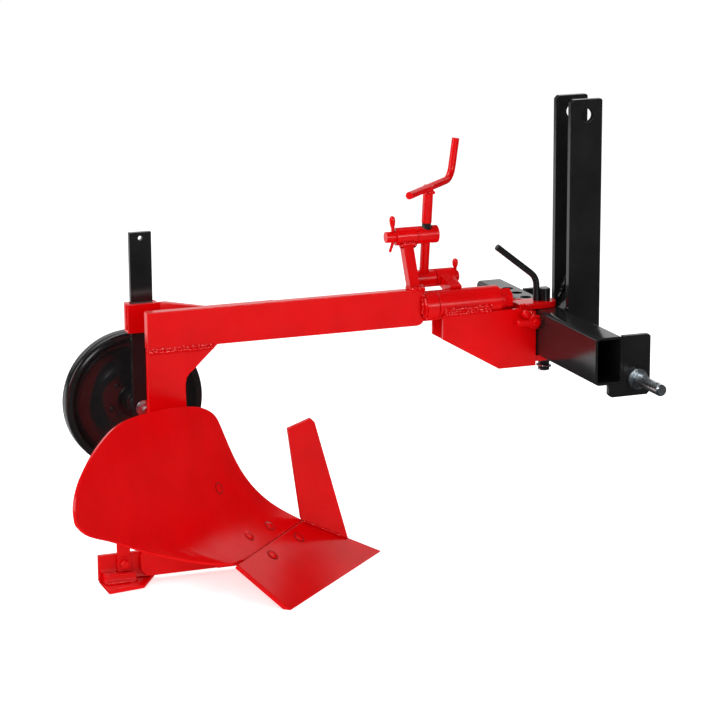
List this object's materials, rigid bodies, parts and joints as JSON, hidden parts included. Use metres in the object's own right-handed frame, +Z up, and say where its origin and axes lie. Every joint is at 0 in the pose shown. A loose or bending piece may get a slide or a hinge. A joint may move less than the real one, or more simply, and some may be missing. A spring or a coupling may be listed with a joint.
{
  "type": "moldboard plough",
  "caption": "Moldboard plough for a three-point hitch: beam and share on a rolling hitch frame with mast, levelling crank and height-adjustable gauge wheel.",
  "frame": {"origin": "on the ground at the centre of the footprint", "axes": "+X forwards to the tractor, +Y to the left, +Z up"},
  "size_m": [1.1347, 0.6536, 0.8615],
  "materials": {
    "red_paint": "gloss powder coat",
    "black_paint": "gloss powder coat",
    "zinc_plate": "bright zinc plate",
    "bare_steel": "machined, oiled"
  },
  "bodies": {
    "plough": {"beam": "red_paint", "beam_collar": "red_paint", "brace_strap": "red_paint", "frog": "red_paint", "heel_block": "red_paint", "heel_plate": "red_paint", "landside": "red_paint", "moldboard": "red_paint", "post_clamp": "red_paint", "roll_shaft": "bare_steel", "shaft_nut": "red_paint", "share": "red_paint", "shin_knife": "red_paint", "standard": "red_paint", "upper_arm": "red_paint", "wheel_bracket": "red_paint"},
    "hitch_frame": {"bracket_pin": "black_paint", "bracket_pin_handle": "black_paint", "bracket_pin_washer": "zinc_plate", "crossbar": "black_paint", "hitch_plate_left": "black_paint", "hitch_plate_right": "black_paint", "lower_arm": "red_paint", "lower_link_pin_left": "zinc_plate", "lower_link_pin_right": "zinc_plate", "mast_plate_left": "black_paint", "mast_plate_right": "black_paint", "mast_web": "black_paint", "roll_sleeve": "red_paint", "saddle_ear_bottom": "red_paint", "saddle_ear_top": "red_paint", "saddle_plate_left": "red_paint", "saddle_plate_right": "red_paint", "saddle_tie": "red_paint", "set_screw": "red_paint"},
    "upper_trunnion_body": {"upper_trunnion": "red_paint", "lynch_pin_upper": "red_paint"},
    "lower_trunnion_body": {"lower_trunnion": "red_paint", "lynch_pin_lower": "red_paint"},
    "crank_body": {"crank_screw": "bare_steel", "crank_handle": "red_paint"},
    "wheel_post_body": {"wheel_post": "black_paint", "wheel_axle": "zinc_plate"},
    "gauge_wheel_body": {"gauge_wheel": "black_paint"}
  },
  "joints": [
    {"name": "roll", "type": "hinge", "parent": "plough", "child": "hitch_frame", "pos_m": [0.3731, 0.0605, 0.4785], "axis": [1, 0, 0], "range_deg": [-4, 8]},
    {"name": "upper_trunnion_turn", "type": "hinge", "parent": "plough", "child": "upper_trunnion_body", "pos_m": [0.2461, 0.1085, 0.6065], "axis": [1, 0, 0], "range_deg": [-4, 2]},
    {"name": "lower_trunnion_turn", "type": "hinge", "parent": "hitch_frame", "child": "lower_trunnion_body", "pos_m": [0.2461, 0.1205, 0.5185], "axis": [1, 0, 0], "range_deg": [-12, 6.5]},
    {"name": "crank_spin", "type": "hinge", "parent": "lower_trunnion_body", "child": "crank_body", "pos_m": [0.2461, 0.1205, 0.5185], "axis": [0, -0.1351, 0.9908], "range_deg": [-400, 800]},
    {"name": "wheel_height", "type": "slide", "parent": "plough", "child": "wheel_post_body", "axis": [0, 0, 1], "range_m": [-0.11, 0.08]},
    {"name": "wheel_spin", "type": "hinge", "parent": "wheel_post_body", "child": "gauge_wheel_body", "pos_m": [-0.3077, 0.223, 0.31], "axis": [0, 1, 0], "continuous": true}
  ],
  "couplings": [
    {"joint": "upper_trunnion_turn", "follows": "roll", "ratio": -0.4},
    {"joint": "lower_trunnion_turn", "follows": "roll", "ratio": -1.4},
    {"joint": "crank_spin", "follows": "roll", "ratio": 99}
  ]
}
